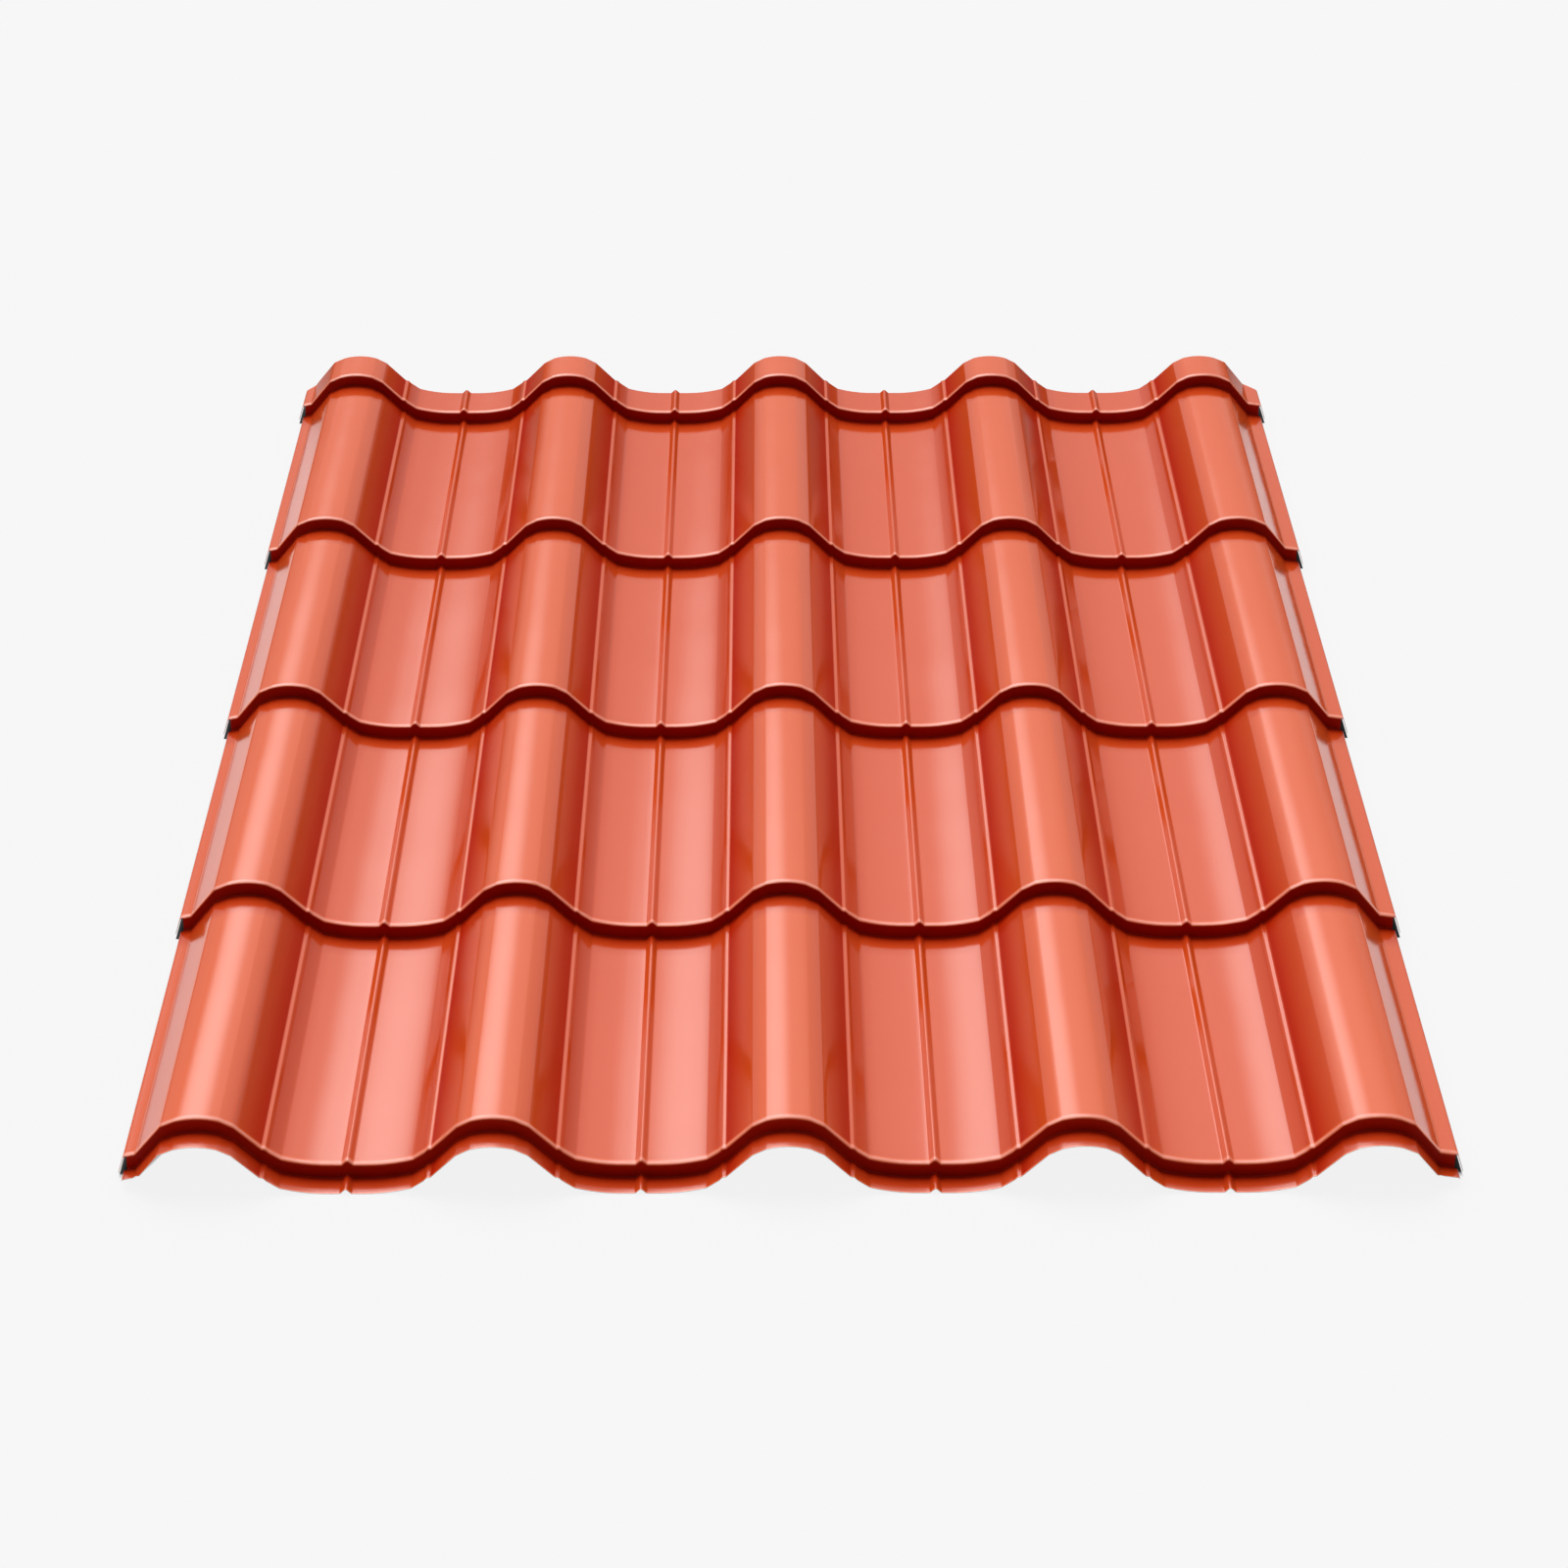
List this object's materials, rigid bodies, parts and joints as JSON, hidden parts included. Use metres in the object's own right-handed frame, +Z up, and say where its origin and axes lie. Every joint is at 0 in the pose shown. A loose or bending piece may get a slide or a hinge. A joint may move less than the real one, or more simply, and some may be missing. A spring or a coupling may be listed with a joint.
{
  "type": "tile effect roofing sheet",
  "caption": "Long formed steel roofing sheet with rounded waves, stepped tile courses, ribbed pans and turned-down side lips, painted terracotta red.",
  "frame": {"origin": "on the floor, under the middle of the sheet's outline", "axes": "+X across the waves, +Y up the roof from the eave end to the ridge end, +Z up"},
  "size_m": [1.0688, 1.476, 0.0585],
  "materials": {
    "paint": "gloss terracotta red coating on zinc-coated steel, primer on the underside"
  },
  "bodies": {
    "root": {"roofing_sheet": "paint"}
  },
  "joints": []
}
